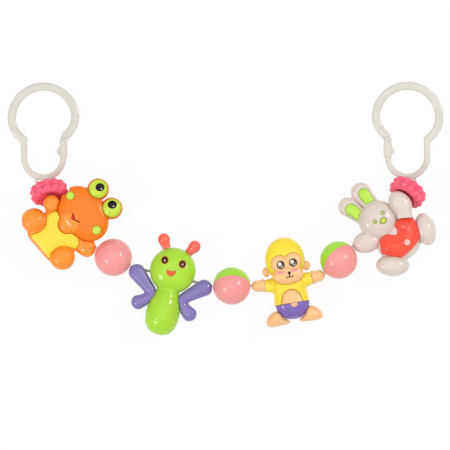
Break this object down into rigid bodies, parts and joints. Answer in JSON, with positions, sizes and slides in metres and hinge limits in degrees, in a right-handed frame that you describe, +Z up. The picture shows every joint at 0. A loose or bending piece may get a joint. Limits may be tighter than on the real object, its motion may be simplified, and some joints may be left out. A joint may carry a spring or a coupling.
{
  "type": "pram chain toy",
  "caption": "Pram chain toy: hollow animal figures, rattle balls and knobbly discs on an elastic cord that ends in snap clips.",
  "frame": {"origin": "middle of the footprint, on the table that the toy lies on", "axes": "+X towards the rabbit's end, +Y from the bee towards the clips' rings, +Z up off the table towards the figures' faces"},
  "size_m": [0.3497, 0.2032, 0.0311],
  "materials": {
    "coral": "satin",
    "cord": "braided elastic",
    "green": "satin",
    "grey": "satin",
    "light_orange": "satin",
    "lime": "satin",
    "off_white": "satin",
    "orange": "satin",
    "peach": "satin",
    "pink": "satin",
    "purple": "satin",
    "soft_pink": "satin",
    "yellow": "satin"
  },
  "bodies": {
    "ball_1": {"ball_1_green_half": "green", "ball_1_pellet_1": "off_white", "ball_1_pellet_2": "off_white", "ball_1_pink_half": "soft_pink"},
    "ball_2": {"ball_2_green_half": "green", "ball_2_pellet_1": "off_white", "ball_2_pellet_2": "off_white", "ball_2_pink_half": "soft_pink"},
    "ball_3": {"ball_3_green_half": "green", "ball_3_pellet_1": "off_white", "ball_3_pellet_2": "off_white", "ball_3_pink_half": "soft_pink"},
    "bee": {"bee_antenna_left": "coral", "bee_antenna_right": "coral", "bee_back_shell": "green", "bee_front_shell": "green", "bee_wing_left": "purple", "bee_wing_right": "purple", "cord_bee": "cord"},
    "clip_left": {"clip_left_frame": "off_white", "clip_left_gate_pin": "off_white"},
    "gate_left": {"clip_left_gate": "off_white"},
    "clip_right": {"clip_right_frame": "off_white", "clip_right_gate_pin": "off_white"},
    "gate_right": {"clip_right_gate": "off_white"},
    "strand_ball_1": {"cord_ball_1": "cord"},
    "strand_ball_2": {"cord_ball_2": "cord"},
    "strand_ball_3": {"cord_ball_3": "cord"},
    "cord_tail_left": {"cord_end_left": "cord"},
    "cord_tail_right": {"cord_end_right": "cord"},
    "frog": {"cord_frog": "cord", "frog_back_shell": "light_orange", "frog_belly_plate": "yellow", "frog_cheek_left": "lime", "frog_cheek_right": "lime", "frog_eye_left": "lime", "frog_eye_right": "lime", "frog_front_shell": "light_orange", "frog_head": "orange"},
    "monkey": {"cord_monkey": "cord", "monkey_back_shell": "yellow", "monkey_belly_patch": "peach", "monkey_ear_left": "peach", "monkey_ear_right": "peach", "monkey_face_plate": "peach", "monkey_foot_left": "peach", "monkey_foot_right": "peach", "monkey_front_shell": "yellow", "monkey_hand_left": "peach", "monkey_hand_right": "peach", "monkey_pants": "purple"},
    "rabbit": {"cord_rabbit": "cord", "rabbit_back_shell": "grey", "rabbit_ear_plate_left": "lime", "rabbit_ear_plate_right": "lime", "rabbit_front_shell": "grey", "rabbit_heart": "coral", "rabbit_nose": "lime"},
    "disc_left": {"knobbly_disc_left": "pink"},
    "disc_right": {"knobbly_disc_right": "pink"}
  },
  "joints": [
    {"name": "strand_ball_2_bend", "type": "hinge", "parent": "bee", "child": "strand_ball_2", "pos_m": [-0.01031, -0.06205, 0.015], "axis": [0, 0, 1], "range_deg": [-20, 20]},
    {"name": "ball_2_spin", "type": "hinge", "parent": "strand_ball_2", "child": "ball_2", "pos_m": [0.00509, -0.06205, 0.015], "axis": [1, 0, 0], "continuous": true},
    {"name": "monkey_bend", "type": "hinge", "parent": "strand_ball_2", "child": "monkey", "pos_m": [0.02049, -0.06205, 0.015], "axis": [0, 0, -1], "range_deg": [-20, 20]},
    {"name": "strand_ball_3_bend", "type": "hinge", "parent": "monkey", "child": "strand_ball_3", "pos_m": [0.07978, -0.05212, 0.015], "axis": [0, 0, 1], "range_deg": [-20, 12]},
    {"name": "ball_3_spin", "type": "hinge", "parent": "strand_ball_3", "child": "ball_3", "pos_m": [0.09067, -0.04124, 0.015], "axis": [0.7071, 0.7071, 0], "continuous": true},
    {"name": "rabbit_bend", "type": "hinge", "parent": "strand_ball_3", "child": "rabbit", "pos_m": [0.10156, -0.03035, 0.015], "axis": [0, 0, -1], "range_deg": [-20, 10]},
    {"name": "cord_tail_right_bend", "type": "hinge", "parent": "rabbit", "child": "cord_tail_right", "pos_m": [0.14408, 0.01063, 0.01783], "axis": [0, 0, 1], "range_deg": [-5, 5]},
    {"name": "disc_right_spin", "type": "hinge", "parent": "cord_tail_right", "child": "disc_right", "pos_m": [0.1458, 0.01309, 0.01624], "axis": [-0.5064, -0.7233, 0.4695], "continuous": true},
    {"name": "clip_right_swing", "type": "hinge", "parent": "cord_tail_right", "child": "clip_right", "pos_m": [0.1497, 0.01909, 0.0042], "axis": [0, 0, -1], "range_deg": [-2, 20]},
    {"name": "gate_right_open", "type": "hinge", "parent": "clip_right", "child": "gate_right", "pos_m": [0.1301, 0.05486, 0.0027], "axis": [0, 0, 1], "range_deg": [0, 30]},
    {"name": "strand_ball_1_bend", "type": "hinge", "parent": "bee", "child": "strand_ball_1", "pos_m": [-0.0761, -0.0465, 0.015], "axis": [0, 0, 1], "range_deg": [-20, 20]},
    {"name": "ball_1_spin", "type": "hinge", "parent": "strand_ball_1", "child": "ball_1", "pos_m": [-0.08963, -0.03915, 0.015], "axis": [-0.8788, 0.4772, 0], "continuous": true},
    {"name": "frog_bend", "type": "hinge", "parent": "strand_ball_1", "child": "frog", "pos_m": [-0.10317, -0.0318, 0.015], "axis": [0, 0, -1], "range_deg": [-5, 10]},
    {"name": "cord_tail_left_bend", "type": "hinge", "parent": "frog", "child": "cord_tail_left", "pos_m": [-0.14039, 0.01015, 0.01786], "axis": [0, 0, 1], "range_deg": [-5, 5]},
    {"name": "disc_left_spin", "type": "hinge", "parent": "cord_tail_left", "child": "disc_left", "pos_m": [-0.14105, 0.01302, 0.01616], "axis": [0.1948, -0.8438, 0.5], "continuous": true},
    {"name": "clip_left_swing", "type": "hinge", "parent": "cord_tail_left", "child": "clip_left", "pos_m": [-0.14479, 0.01846, 0.0042], "axis": [0, 0, -1], "range_deg": [-20, 20]},
    {"name": "gate_left_open", "type": "hinge", "parent": "clip_left", "child": "gate_left", "pos_m": [-0.12979, 0.05423, 0.0027], "axis": [0, 0, -1], "range_deg": [0, 30]}
  ]
}
